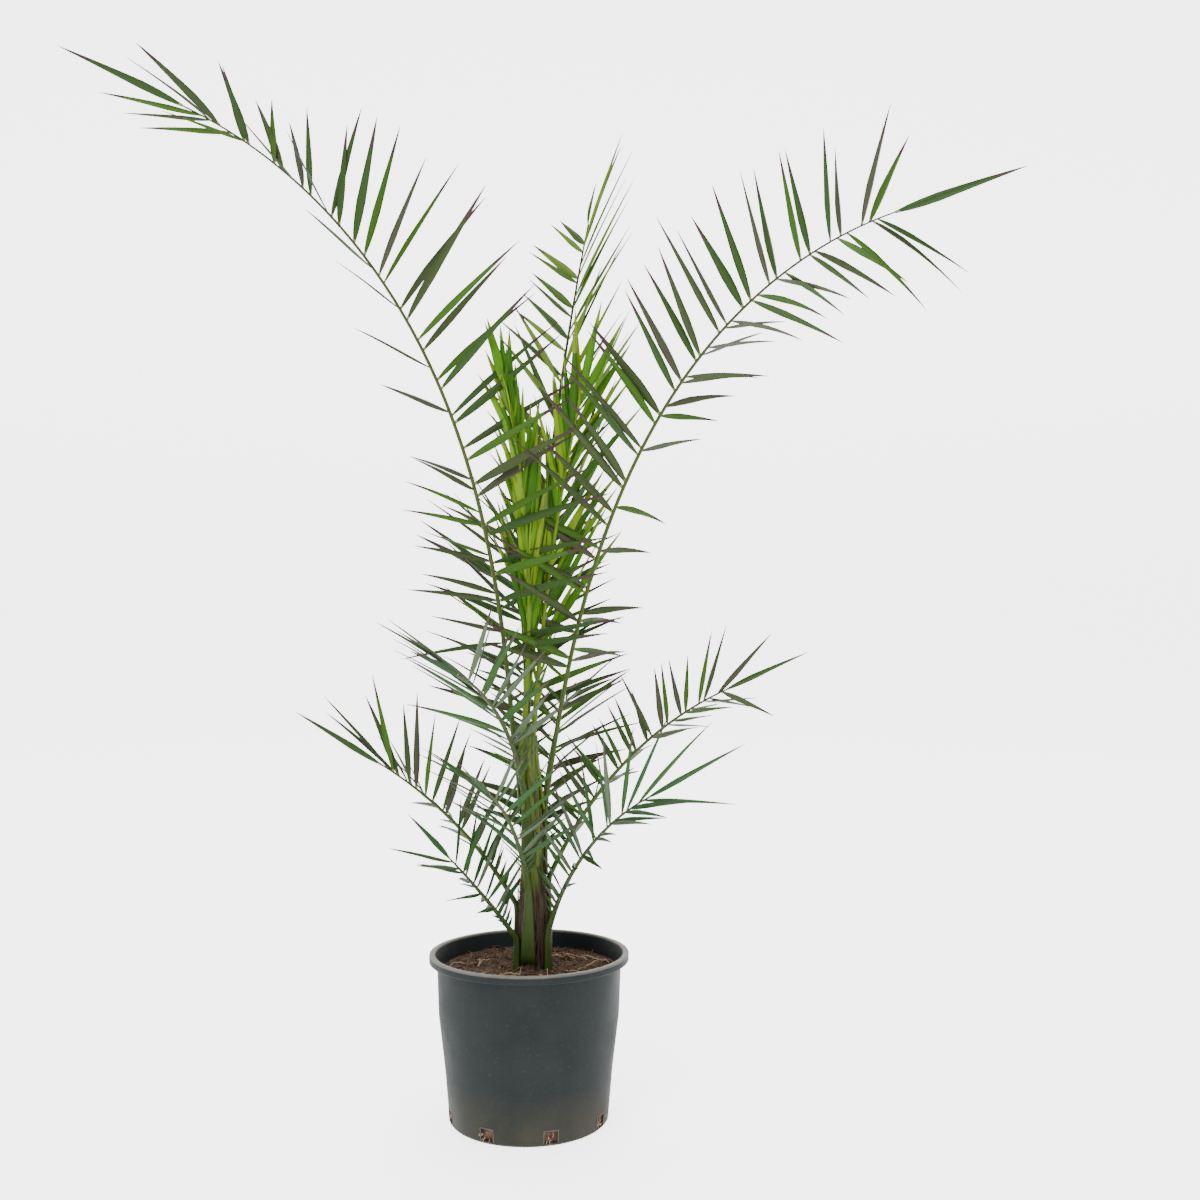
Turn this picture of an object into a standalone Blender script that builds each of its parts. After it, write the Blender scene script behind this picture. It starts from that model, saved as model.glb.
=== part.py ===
"""A young date palm in a black nursery pot: the pot, its soil, the stem of packed leaf bases
and thirteen fronds, each a round stalk and one or two thin folded blades of the frond's outline."""

import math

import bmesh
import bpy
from mathutils import Vector

# Pot sizes in metres: a 15 litre nursery pot, 300 mm across its rim
POT_HEIGHT = 0.247
RIM_RADIUS = 0.150
RIM_INNER_RADIUS = 0.141
LIP_DEPTH = 0.012
LIP_ROUND = 0.002
WALL_TOP_RADIUS = 0.1383
WALL_BEND_HEIGHT = 0.157
WALL_BEND_RADIUS = 0.1353
WALL_LOW_HEIGHT = 0.076
WALL_LOW_RADIUS = 0.1255
WALL_FOOT_HEIGHT = 0.003
WALL_FOOT_RADIUS = 0.1190
FLOOR_RADIUS = 0.1160
WALL_THICKNESS = 0.0022
FLOOR_THICKNESS = 0.003
POT_SIDES = 48

# Drain holes cut through the foot of the wall
HOLE_COUNT = 8
HOLE_WIDTH = 0.020
HOLE_BOTTOM = 0.0045
HOLE_TOP = 0.022
HOLE_INNER_RADIUS = 0.108
HOLE_OUTER_RADIUS = 0.128
HOLE_TURN = -75.0

# Soil and stem
SOIL_TOP = 0.2215
STEM_TOP = 0.5715
STEM_BASE_RADIUS = 0.0280
STEM_WAIST_RADIUS = 0.0185
STEM_WAIST_HEIGHT = 0.3865
STEM_TOP_RADIUS = 0.0160
STEM_BASE_X = 0.006
STEM_DRIFT = -0.011
STEM_STATIONS = 9

# Fronds
STALK_RADIUS = 0.0042
STALK_TIP_RADIUS = 0.0034
STALK_STATIONS = 5
PATH_STEPS = 60
BLADE_THICKNESS = 0.002
BLADE_ROWS = 6
GAP = 0.0003
JOINT_GAP = 0.0005

# Colours as the eye sees them, for the plain materials
POT_COLOUR = (0.055, 0.065, 0.066)
SOIL_COLOUR = (0.16, 0.10, 0.065)
STEM_COLOUR = (0.17, 0.21, 0.06)
STALK_COLOUR = (0.15, 0.25, 0.07)
OLD_LEAF_COLOUR = (0.06, 0.12, 0.04)
YOUNG_LEAF_COLOUR = (0.13, 0.30, 0.02)


class Rank:
    """One side's row of leaflets. A knot gives the share of the leafy length, the angle to the
    rib, the swing round the rib from its upper face, both in degrees, and the leaflet length."""

    def __init__(self, *knots):
        self.knots = knots

    def at(self, share):
        for low, high in zip(self.knots, self.knots[1:]):
            if share <= high[0]:
                part = (share - low[0]) / (high[0] - low[0])
                return [a + (b - a) * part for a, b in zip(low[1:], high[1:])]
        return list(self.knots[-1][1:])


class Frond:
    """A frond's path, which leans from its foot to its tip, and its two ranks of leaflets."""

    def __init__(self, name, azimuth, foot, length, lean, bend, leafy_from, inner, outer,
                 narrow=(0.25, 0.0, 0.45), split=(), young=False):
        self.name = name
        self.azimuth = math.radians(azimuth)
        self.foot = foot
        self.length = length
        self.lean = [math.radians(angle) for angle in lean]
        self.bend = bend
        self.leafy_from = leafy_from
        self.inner = inner
        self.outer = outer
        self.narrow = narrow
        self.split = split
        self.young = young
        self.path = self.walk()

    def axes(self, share):
        """The tangent, the upper face's normal and the sideways direction at a share of the length."""
        lean = self.lean[0] + (self.lean[1] - self.lean[0]) * share ** self.bend
        outward = Vector((math.cos(self.azimuth), math.sin(self.azimuth), 0.0))
        upward = Vector((0.0, 0.0, 1.0))
        tangent = outward * math.sin(lean) + upward * math.cos(lean)
        normal = upward * math.sin(lean) - outward * math.cos(lean)
        return tangent, normal, upward.cross(outward)

    def start(self):
        """The foot of the stalk: beside the stem at a height, or at a spot on the stem's top."""
        if isinstance(self.foot, tuple):
            x, y = self.foot
            rise = GAP + STALK_RADIUS * abs(math.sin(self.lean[0]))
            return Vector((stem_x(STEM_TOP) + x, y, STEM_TOP + rise))
        reach = stem_radius(self.foot) + GAP + STALK_RADIUS * math.cos(self.lean[0])
        x = stem_x(self.foot) + reach * math.cos(self.azimuth)
        return Vector((x, reach * math.sin(self.azimuth), self.foot))

    def walk(self):
        points = [self.start()]
        for step in range(PATH_STEPS):
            tangent = self.axes((step + 0.5) / PATH_STEPS)[0]
            points.append(points[-1] + tangent * (self.length / PATH_STEPS))
        return points

    def point(self, share):
        place = min(max(share, 0.0), 1.0) * PATH_STEPS
        low = min(int(place), PATH_STEPS - 1)
        return self.path[low].lerp(self.path[low + 1], place - low)

    def cover(self, share):
        """How much of the leaflets' length the blade covers: less near the stem, where the
        leaflets of neighbouring fronds pass between each other."""
        least, narrow_until, full_from = self.narrow
        part = (share - narrow_until) / (full_from - narrow_until)
        return least + (1 - least) * min(max(part, 0.0), 1.0)

    def leaflet_tip(self, rank, share):
        """Where the blade ends over a leaflet that leaves the rib at this share of its leafy length."""
        along = self.leafy_from + (1 - self.leafy_from) * share
        tangent, normal, sideways = self.axes(along)
        angle, swing, length = rank.at(share)
        angle = math.radians(angle)
        swing = math.radians(swing)
        length *= self.cover(share)
        across = normal * math.cos(swing) + sideways * math.sin(swing)
        return self.point(along) + (tangent * math.cos(angle) + across * math.sin(angle)) * length


def stem_x(height):
    """The stem stands upright and drifts a little to the left above its waist."""
    rise = (height - STEM_WAIST_HEIGHT) / (STEM_TOP - STEM_WAIST_HEIGHT)
    return STEM_BASE_X + STEM_DRIFT * min(max(rise, 0.0), 0.9) ** 1.5


def stem_radius(height):
    if height <= STEM_WAIST_HEIGHT:
        share = (height - SOIL_TOP) / (STEM_WAIST_HEIGHT - SOIL_TOP)
        return STEM_BASE_RADIUS + (STEM_WAIST_RADIUS - STEM_BASE_RADIUS) * share
    share = (height - STEM_WAIST_HEIGHT) / (STEM_TOP - STEM_WAIST_HEIGHT)
    return STEM_WAIST_RADIUS + (STEM_TOP_RADIUS - STEM_WAIST_RADIUS) * share


def clear_scene():
    for thing in list(bpy.data.objects):
        bpy.data.objects.remove(thing, do_unlink=True)


def new_collection(name):
    collection = bpy.data.collections.new(name)
    bpy.context.scene.collection.children.link(collection)
    return collection


def material(name, colour, roughness):
    made = bpy.data.materials.new(name)
    made.use_nodes = True
    shader = made.node_tree.nodes["Principled BSDF"]
    shader.inputs["Base Color"].default_value = (*colour, 1.0)
    shader.inputs["Roughness"].default_value = roughness
    shader.inputs["Metallic"].default_value = 0.0
    return made


def add_object(name, data, collection, finish):
    made = bpy.data.objects.new(name, data)
    collection.objects.link(made)
    if finish is not None:
        data.materials.append(finish)
    return made


def turned(name, profile, sides, collection, finish):
    """A solid of revolution about Z from a profile of radius and height, open only on the axis."""
    mesh = bpy.data.meshes.new(name)
    points = [(radius, 0.0, height) for radius, height in profile]
    edges = [(index, index + 1) for index in range(len(points) - 1)]
    mesh.from_pydata(points, edges, [])
    made = add_object(name, mesh, collection, finish)
    screw = made.modifiers.new("turn", "SCREW")
    screw.axis = "Z"
    screw.angle = math.tau
    screw.steps = sides
    screw.render_steps = sides
    screw.use_merge_vertices = True
    screw.merge_threshold = 0.00005
    screw.use_smooth_shade = True
    return made


def wall_profile(inset):
    """The pot's wall from under the lip down to its foot, moved inwards by the inset."""
    return [
        (WALL_TOP_RADIUS - inset, POT_HEIGHT - LIP_DEPTH),
        (WALL_BEND_RADIUS - inset, WALL_BEND_HEIGHT),
        (WALL_LOW_RADIUS - inset, WALL_LOW_HEIGHT),
        (WALL_FOOT_RADIUS - inset, WALL_FOOT_HEIGHT),
    ]


def wall_radius(height, inset):
    """The wall's radius at a height, along the straight stretches of its profile."""
    profile = wall_profile(inset)
    for high, low in zip(profile, profile[1:]):
        if height >= low[1]:
            share = (height - low[1]) / (high[1] - low[1])
            return low[0] + (high[0] - low[0]) * share
    return profile[-1][0]


def make_pot(parts, cutters):
    inner = wall_profile(WALL_THICKNESS)
    inner[-1] = (inner[-1][0], FLOOR_THICKNESS)
    lip_bottom = POT_HEIGHT - LIP_DEPTH
    profile = [(0.0, FLOOR_THICKNESS)]
    profile += reversed(inner)
    profile += [
        (RIM_INNER_RADIUS, POT_HEIGHT - LIP_ROUND),
        (RIM_INNER_RADIUS + LIP_ROUND, POT_HEIGHT),
        (RIM_RADIUS - LIP_ROUND, POT_HEIGHT),
        (RIM_RADIUS, POT_HEIGHT - LIP_ROUND),
        (RIM_RADIUS, lip_bottom + LIP_ROUND),
        (RIM_RADIUS - LIP_ROUND, lip_bottom),
    ]
    profile += wall_profile(0.0)
    profile += [(FLOOR_RADIUS, 0.0), (0.0, 0.0)]
    pot = turned("pot", profile, POT_SIDES, parts, material("pot_plastic", POT_COLOUR, 0.55))
    cut = pot.modifiers.new("drain_holes", "BOOLEAN")
    cut.operation = "DIFFERENCE"
    cut.solver = "EXACT"
    cut.object = make_hole_cutter(cutters)
    return pot


def make_hole_cutter(cutters):
    """One cutter of eight boxes, one for each drain hole round the foot of the wall."""
    form = bmesh.new()
    middle = (HOLE_INNER_RADIUS + HOLE_OUTER_RADIUS) / 2
    size = Vector((HOLE_OUTER_RADIUS - HOLE_INNER_RADIUS, HOLE_WIDTH, HOLE_TOP - HOLE_BOTTOM))
    for index in range(HOLE_COUNT):
        turn = math.radians(HOLE_TURN + index * 360 / HOLE_COUNT)
        box = bmesh.ops.create_cube(form, size=1.0)["verts"]
        for vertex in box:
            reach = middle + vertex.co.x * size.x
            side = vertex.co.y * size.y
            vertex.co = Vector((
                reach * math.cos(turn) - side * math.sin(turn),
                reach * math.sin(turn) + side * math.cos(turn),
                (HOLE_TOP + HOLE_BOTTOM) / 2 + vertex.co.z * size.z,
            ))
    mesh = bpy.data.meshes.new("drain_hole_cutter")
    form.to_mesh(mesh)
    form.free()
    cutter = add_object("drain_hole_cutter", mesh, cutters, None)
    cutter.hide_render = True
    cutter.display_type = "WIRE"
    return cutter


def make_soil(parts):
    """The root ball, a close fit in the pot, with a level top a little below the rim."""
    inset = WALL_THICKNESS + GAP
    floor = FLOOR_THICKNESS + GAP
    profile = [
        (0.0, SOIL_TOP),
        (wall_radius(SOIL_TOP, inset), SOIL_TOP),
        (wall_radius(WALL_BEND_HEIGHT, inset), WALL_BEND_HEIGHT),
        (wall_radius(WALL_LOW_HEIGHT, inset), WALL_LOW_HEIGHT),
        (wall_radius(floor, inset), floor),
        (0.0, floor),
    ]
    turned("soil", profile, POT_SIDES, parts, material("potting_soil", SOIL_COLOUR, 0.95))


def make_tube(name, points, radii, sides_step, parts, finish):
    """A round tapering tube with flat ends through the points."""
    curve = bpy.data.curves.new(name, "CURVE")
    curve.dimensions = "3D"
    curve.bevel_depth = 1.0
    curve.bevel_resolution = sides_step
    curve.use_fill_caps = True
    spline = curve.splines.new("POLY")
    spline.points.add(len(points) - 1)
    for knot, point, radius in zip(spline.points, points, radii):
        knot.co = (*point, 1.0)
        knot.radius = radius
    return add_object(name, curve, parts, finish)


def make_stem(parts):
    """The stem of packed leaf bases, widest at the soil, from a flat cut there to its flat top."""
    low = SOIL_TOP + GAP
    heights = [low + (STEM_TOP - low) * step / (STEM_STATIONS - 1) for step in range(STEM_STATIONS)]
    heights[-2] = STEM_TOP - 0.1 * (STEM_TOP - STEM_WAIST_HEIGHT)
    points = [Vector((stem_x(height), 0.0, height)) for height in heights]
    points[1].x = points[0].x
    radii = [stem_radius(height) for height in heights]
    make_tube("stem", points, radii, 6, parts, material("leaf_bases", STEM_COLOUR, 0.8))


def make_stalk(frond, parts):
    """The bare lower part of a frond's rib, from the stem to its first leaflets."""
    end = frond.leafy_from - JOINT_GAP / frond.length
    shares = [end * step / (STALK_STATIONS - 1) for step in range(STALK_STATIONS)]
    points = [frond.point(share) for share in shares]
    radii = [STALK_RADIUS + (STALK_TIP_RADIUS - STALK_RADIUS) * share / end for share in shares]
    finish = material(frond.name + "_stalk_green", STALK_COLOUR, 0.5)
    make_tube(frond.name + "_stalk", points, radii, 2, parts, finish)


def make_blade(frond, name, low, high, parts):
    """A thin folded sheet over one stretch of the leafy rib, out to the leaflets' tips."""
    form = bmesh.new()
    rows = []
    for step in range(BLADE_ROWS):
        share = low + (high - low) * step / (BLADE_ROWS - 1)
        along = frond.leafy_from + (1 - frond.leafy_from) * share
        middle = frond.point(along)
        if share >= 1.0:
            middle = middle + frond.axes(1.0)[0] * frond.inner.at(1.0)[2]
        row = [frond.leaflet_tip(frond.inner, share), middle, frond.leaflet_tip(frond.outer, share)]
        rows.append([form.verts.new(point) for point in row])
    for lower, upper in zip(rows, rows[1:]):
        for side in range(2):
            form.faces.new((lower[side], lower[side + 1], upper[side + 1], upper[side]))
    mesh = bpy.data.meshes.new(name)
    form.to_mesh(mesh)
    form.free()
    colour = YOUNG_LEAF_COLOUR if frond.young else OLD_LEAF_COLOUR
    blade = add_object(name, mesh, parts, material(name + "_green", colour, 0.55))
    sheet = blade.modifiers.new("thickness", "SOLIDIFY")
    sheet.thickness = BLADE_THICKNESS
    sheet.offset = 0.0


def make_frond(frond, parts):
    make_stalk(frond, parts)
    ends = [0.0, *frond.split, 1.0]
    labels = ["_blade"] if len(ends) == 2 else ["_blade_lower", "_blade_upper"]
    break_share = JOINT_GAP / frond.length
    for label, low, high in zip(labels, ends, ends[1:]):
        start = low + (break_share if low > 0 else 0.0)
        end = high - (break_share if high < 1 else 0.0)
        make_blade(frond, frond.name + label, start, end, parts)


# Azimuth 0 points right and 90 away from the viewer. Leans are from the upright, in degrees.
FRONDS = [
    Frond("left_tall", 180, 0.5635, 1.143, (5.2, 65), 1.65, 0.12,
          Rank((0, 78, 14, 0.19), (0.5, 73, 14, 0.24), (0.65, 56, 5, 0.20), (0.8, 42, -20, 0.15),
               (0.88, 36, -20, 0.15), (1, 9, -20, 0.22)),
          Rank((0, 84, 150, 0.16), (0.2, 70, 130, 0.15), (0.6, 56, 104, 0.18), (0.74, 50, 60, 0.15),
               (0.93, 20, 165, 0.14), (1, 13, 170, 0.19)),
          narrow=(0.15, 0.33, 0.5), split=(0.5,)),
    Frond("right_tall", 0, 0.4725, 1.120, (8.5, 70), 1.73, 0.18,
          Rank((0, 75, -10, 0.17), (0.5, 68, -10, 0.21), (0.8, 68, 0, 0.19), (0.93, 56, 0, 0.19),
               (1, 32, 0, 0.24)),
          Rank((0, 78, 140, 0.15), (0.3, 66, 125, 0.14), (0.5, 50, 122, 0.18), (0.8, 55, 130, 0.20),
               (1, 46, 140, 0.23)),
          narrow=(0.15, 0.30, 0.5), split=(0.5,)),
    Frond("back_tall", 65, (-0.002, 0.009), 0.90, (8, 24), 1.00, 0.28,
          Rank((0, 38, 85, 0.19), (0.45, 32, 85, 0.21), (0.6, 46, 85, 0.14), (0.85, 55, 85, 0.11),
               (1, 35, 80, 0.10)),
          Rank((0, 34, -80, 0.19), (0.5, 25, -80, 0.25), (1, 13, -80, 0.24))),
    Frond("spear_left", 176, (-0.006, -0.007), 0.55, (-4, 15), 1.50, 0.24,
          Rank((0, 14, -30, 0.24), (1, 8, -30, 0.10)),
          Rank((0, 14, -150, 0.22), (1, 8, -150, 0.10)), young=True, narrow=(0.15, 0.3, 0.6)),
    Frond("spear_right", 8, (0.009, -0.001), 0.53, (4, 13), 1.20, 0.24,
          Rank((0, 22, 25, 0.22), (1, 12, 25, 0.16)),
          Rank((0, 25, 150, 0.24), (1, 22, 150, 0.20)), young=True, narrow=(0.15, 0.3, 0.6)),
    Frond("front", -118, 0.49, 0.27, (20, 74), 1.00, 0.30,
          Rank((0, 60, 60, 0.13), (0.6, 60, 35, 0.13), (1, 50, 10, 0.13)),
          Rank((0, 75, -85, 0.17), (0.5, 65, -80, 0.18), (1, 25, -60, 0.15))),
    Frond("left_low", 170, 0.3165, 0.30, (31, 60), 1.00, 0.25,
          Rank((0, 70, 10, 0.12), (0.5, 70, 0, 0.13), (1, 30, -20, 0.17)),
          Rank((0, 60, -100, 0.12), (0.5, 60, -110, 0.10), (1, 12, -60, 0.19))),
    Frond("left_lowest", 208, 0.2695, 0.17, (37, 44), 1.00, 0.30,
          Rank((0, 75, 0, 0.10), (0.5, 70, 0, 0.12), (1, 50, 0, 0.10)),
          Rank((0, 60, 120, 0.08), (0.5, 60, 120, 0.10), (1, 30, 120, 0.15))),
    Frond("right_mid", 2, 0.3585, 0.400, (25, 66), 1.15, 0.15,
          Rank((0, 80, 10, 0.11), (0.5, 75, 20, 0.10), (0.8, 60, 20, 0.11), (1, 22, 20, 0.15)),
          Rank((0, 60, 100, 0.09), (0.5, 60, 100, 0.09), (1, 40, 140, 0.12))),
    Frond("right_low", -38, 0.2815, 0.28, (18, 62), 1.00, 0.20,
          Rank((0, 70, -15, 0.12), (0.5, 60, -15, 0.13), (1, 15, -15, 0.19)),
          Rank((0, 60, -120, 0.08), (0.5, 55, -130, 0.10), (1, 20, -150, 0.18))),
    Frond("back_mid", 96, 0.4865, 0.60, (12, 72), 1.20, 0.20,
          Rank((0, 72, 70, 0.17), (0.5, 66, 62, 0.20), (1, 30, 60, 0.18)),
          Rank((0, 72, -70, 0.17), (0.5, 66, -62, 0.20), (1, 30, -60, 0.18))),
    Frond("back_low", 80, 0.3465, 0.42, (24, 78), 1.10, 0.20,
          Rank((0, 72, 70, 0.13), (0.5, 66, 62, 0.16), (1, 30, 60, 0.15)),
          Rank((0, 72, -70, 0.13), (0.5, 66, -62, 0.16), (1, 30, -60, 0.15))),
    Frond("front_low", -108, 0.345, 0.24, (26, 68), 1.00, 0.25,
          Rank((0, 72, 50, 0.11), (0.5, 66, 45, 0.13), (1, 30, 50, 0.13)),
          Rank((0, 72, -60, 0.12), (0.5, 66, -60, 0.14), (1, 30, -60, 0.14))),
]


def build():
    clear_scene()
    parts = new_collection("potted_date_palm")
    cutters = new_collection("cutters")
    make_pot(parts, cutters)
    make_soil(parts)
    make_stem(parts)
    for frond in FRONDS:
        make_frond(frond, parts)


build()
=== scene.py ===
import math
import random

import bmesh
import bpy
from mathutils import Matrix, Quaternion, Vector, noise


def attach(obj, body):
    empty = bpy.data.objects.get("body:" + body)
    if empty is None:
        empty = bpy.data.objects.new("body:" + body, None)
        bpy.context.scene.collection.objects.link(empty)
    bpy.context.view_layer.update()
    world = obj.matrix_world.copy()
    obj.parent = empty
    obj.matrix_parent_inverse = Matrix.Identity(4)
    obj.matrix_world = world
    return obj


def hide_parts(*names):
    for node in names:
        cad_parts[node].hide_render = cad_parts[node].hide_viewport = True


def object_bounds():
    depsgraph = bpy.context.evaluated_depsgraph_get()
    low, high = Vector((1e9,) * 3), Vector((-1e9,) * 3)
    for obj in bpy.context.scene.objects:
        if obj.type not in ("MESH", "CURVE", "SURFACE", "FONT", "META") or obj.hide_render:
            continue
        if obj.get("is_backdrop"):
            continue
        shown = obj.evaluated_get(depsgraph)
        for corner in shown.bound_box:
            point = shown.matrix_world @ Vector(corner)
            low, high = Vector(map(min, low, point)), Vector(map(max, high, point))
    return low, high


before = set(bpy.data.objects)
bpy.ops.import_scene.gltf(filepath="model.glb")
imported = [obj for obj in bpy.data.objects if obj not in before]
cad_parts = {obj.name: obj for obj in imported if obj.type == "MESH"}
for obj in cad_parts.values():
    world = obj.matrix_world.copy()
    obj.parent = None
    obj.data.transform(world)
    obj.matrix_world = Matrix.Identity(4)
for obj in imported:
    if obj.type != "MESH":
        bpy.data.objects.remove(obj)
cad_box = [[float(value) for value in corner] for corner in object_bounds()]

# Camera. The photograph was taken from just under two metres away, a little above
# the middle of the plant, and looks slightly up and to the right of the pot.
EYE = Vector((0.0, -1.93, 0.7145))
LENS = 37.98
LOOK_UP = math.radians(1.855)
LOOK_RIGHT = math.radians(3.165)
camera_data = bpy.data.cameras.new("camera")
camera_data.lens = LENS
camera_data.sensor_width = 36.0
camera = bpy.data.objects.new("camera", camera_data)
camera.location = EYE
camera.rotation_euler = (math.pi / 2 + LOOK_UP, 0.0, -LOOK_RIGHT)
bpy.context.scene.collection.objects.link(camera)
bpy.context.scene.camera = camera


# Floor and light. A plain white studio sweep, one sheet that curves up behind the
# plant, under broad soft lights and an even white surround.
SWEEP_HALF_WIDTH = 12.0
SWEEP_FRONT = -8.0
SWEEP_BEND = 4.0
SWEEP_RADIUS = 3.0
SWEEP_TOP = 10.0


def principled(name, colour, roughness, specular=0.5):
    """A material with one plain colour on the shader's own sockets."""
    made = bpy.data.materials.new(name)
    made.use_nodes = True
    shader = made.node_tree.nodes["Principled BSDF"]
    shader.inputs["Base Color"].default_value = (*colour, 1.0)
    shader.inputs["Roughness"].default_value = roughness
    shader.inputs["Specular IOR Level"].default_value = specular
    return made


def mesh_object(name, points, faces, materials, smooth=True):
    mesh = bpy.data.meshes.new(name)
    mesh.from_pydata([tuple(point) for point in points], [], faces)
    for material in materials:
        mesh.materials.append(material)
    mesh.polygons.foreach_set("use_smooth", [smooth] * len(mesh.polygons))
    made = bpy.data.objects.new(name, mesh)
    bpy.context.scene.collection.objects.link(made)
    return made


sweep_line = [(SWEEP_FRONT, 0.0), (SWEEP_BEND, 0.0)]
for step in range(1, 13):
    turn = math.pi / 2 * step / 12
    sweep_line.append((SWEEP_BEND + SWEEP_RADIUS * math.sin(turn), SWEEP_RADIUS * (1 - math.cos(turn))))
sweep_line.append((SWEEP_BEND + SWEEP_RADIUS, SWEEP_TOP))
sweep_points = [(side * SWEEP_HALF_WIDTH, y, z) for y, z in sweep_line for side in (-1, 1)]
sweep_faces = [(2 * row, 2 * row + 1, 2 * row + 3, 2 * row + 2) for row in range(len(sweep_line) - 1)]
paper = principled("white_paper", (0.90, 0.90, 0.90), 0.9, 0.1)
paper.node_tree.nodes["Principled BSDF"].inputs["Emission Color"].default_value = (1.0, 1.0, 1.0, 1.0)
paper.node_tree.nodes["Principled BSDF"].inputs["Emission Strength"].default_value = 2.8
sweep = mesh_object("sweep", sweep_points, sweep_faces, [paper])
sweep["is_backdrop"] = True

world = bpy.data.worlds.new("surround")
world.use_nodes = True
world.node_tree.nodes["Background"].inputs["Color"].default_value = (1.0, 1.0, 1.0, 1.0)
world.node_tree.nodes["Background"].inputs["Strength"].default_value = 0.9
bpy.context.scene.world = world

for light_name, place, size, power in (
    ("key", (-1.6, -2.6, 3.0), 1.4, 110.0),
    ("fill", (2.4, -2.2, 1.8), 2.0, 30.0),
    ("top", (0.2, 0.2, 3.8), 2.0, 80.0),
):
    light_data = bpy.data.lights.new(light_name, "AREA")
    light_data.energy = power
    light_data.size = size
    light = bpy.data.objects.new(light_name, light_data)
    light.location = place
    aim = Vector((0.0, 0.0, 0.7)) - Vector(place)
    light.rotation_euler = aim.to_track_quat("-Z", "Y").to_euler()
    bpy.context.scene.collection.objects.link(light)


# Pot. A 15 litre nursery pot blown in thin dark plastic, 300 mm across its rolled rim,
# with drain holes punched through the foot of its wall. Dust and old soil cling to its foot.
POT_HEIGHT = 0.247
RIM_RADIUS = 0.150
RIM_INNER_RADIUS = 0.141
LIP_DEPTH = 0.012
LIP_ROUND = 0.002
WALL = ((0.1383, 0.235), (0.1353, 0.157), (0.1255, 0.076), (0.1190, 0.003))
WALL_THICKNESS = 0.0022
FLOOR_RADIUS = 0.1160
FLOOR_THICKNESS = 0.003
POT_SEGMENTS = 144
HOLE_COUNT = 8
HOLE_TURN = math.radians(-75.0)
HOLE_WIDTH = 0.020
HOLE_BOTTOM = 0.0045
HOLE_TOP = 0.022
HOLE_DEPTH = 0.020
HOLE_MIDDLE = 0.118


def node(tree, kind, **inputs):
    """A shader node with its named inputs set, or linked where the value is a socket."""
    made = tree.nodes.new(kind)
    for key, value in inputs.items():
        socket = made.inputs[key.replace("_", " ")]
        if isinstance(value, bpy.types.NodeSocket):
            tree.links.new(value, socket)
        else:
            socket.default_value = value
    return made


def mixed(tree, factor, first, second):
    """A colour that goes from the first to the second by the factor."""
    mix = tree.nodes.new("ShaderNodeMix")
    mix.data_type = "RGBA"
    if isinstance(factor, bpy.types.NodeSocket):
        tree.links.new(factor, mix.inputs[0])
    else:
        mix.inputs[0].default_value = factor
    for value, socket in ((first, mix.inputs[6]), (second, mix.inputs[7])):
        if isinstance(value, bpy.types.NodeSocket):
            tree.links.new(value, socket)
        else:
            socket.default_value = (*value, 1.0)
    return mix.outputs[2]


def ranged(tree, value, low, high, out_low=0.0, out_high=1.0):
    made = node(tree, "ShaderNodeMapRange", Value=value, From_Min=low, From_Max=high,
                To_Min=out_low, To_Max=out_high)
    return made.outputs["Result"]


def times(tree, first, second):
    made = tree.nodes.new("ShaderNodeMath")
    made.operation = "MULTIPLY"
    for value, socket in ((first, made.inputs[0]), (second, made.inputs[1])):
        if isinstance(value, bpy.types.NodeSocket):
            tree.links.new(value, socket)
        else:
            socket.default_value = value
    return made.outputs[0]


def place_nodes(tree, stretch=(1.0, 1.0, 1.0)):
    """Object coordinates, stretched, and the plain height above the ground."""
    place = tree.nodes.new("ShaderNodeTexCoord").outputs["Object"]
    mapping = node(tree, "ShaderNodeMapping", Vector=place, Scale=stretch)
    height = node(tree, "ShaderNodeSeparateXYZ", Vector=place).outputs["Z"]
    return mapping.outputs["Vector"], height


def bumped(tree, value, strength, distance):
    bump = node(tree, "ShaderNodeBump", Height=value, Strength=strength, Distance=distance)
    tree.links.new(bump.outputs["Normal"], tree.nodes["Principled BSDF"].inputs["Normal"])


def pot_plastic(name):
    """Dull dark grey-green plastic, dusty at its foot, with a painted highlight in patches along the top of
    the rim.
    """
    made = principled(name, (0.010, 0.013, 0.013), 0.6, 0.07)
    tree = made.node_tree
    place, height = place_nodes(tree)
    cloud = node(tree, "ShaderNodeTexNoise", Vector=place, Scale=14.0, Detail=6.0).outputs["Fac"]
    specks = node(tree, "ShaderNodeTexNoise", Vector=place, Scale=260.0, Detail=2.0).outputs["Fac"]
    body = mixed(tree, ranged(tree, cloud, 0.35, 0.65), (0.008, 0.0108, 0.0110), (0.013, 0.0155, 0.0158))
    body = mixed(tree, ranged(tree, specks, 0.62, 0.74, 0.0, 0.30), body, (0.030, 0.033, 0.032))
    low = times(tree, ranged(tree, height, 0.075, 0.012), ranged(tree, cloud, 0.30, 0.62, 0.35, 0.9))
    body = mixed(tree, low, body, (0.030, 0.028, 0.019))
    # painted highlight: the top of the rim is painted pale in patches, where light catches it
    rim_highlight = times(tree, ranged(tree, height, 0.2435, 0.2465), ranged(tree, cloud, 0.25, 0.6, 0.45, 1.0))
    body = mixed(tree, rim_highlight, body, (0.15, 0.14, 0.12))
    tree.links.new(body, tree.nodes["Principled BSDF"].inputs["Base Color"])
    rough = ranged(tree, cloud, 0.3, 0.7, 0.45, 0.68)
    tree.links.new(rough, tree.nodes["Principled BSDF"].inputs["Roughness"])
    bumped(tree, specks, 0.25, 0.0006)
    return made


def finish_piece(piece, slot, *nodes):
    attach(piece, "root")
    if nodes:
        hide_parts(*nodes)


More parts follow.
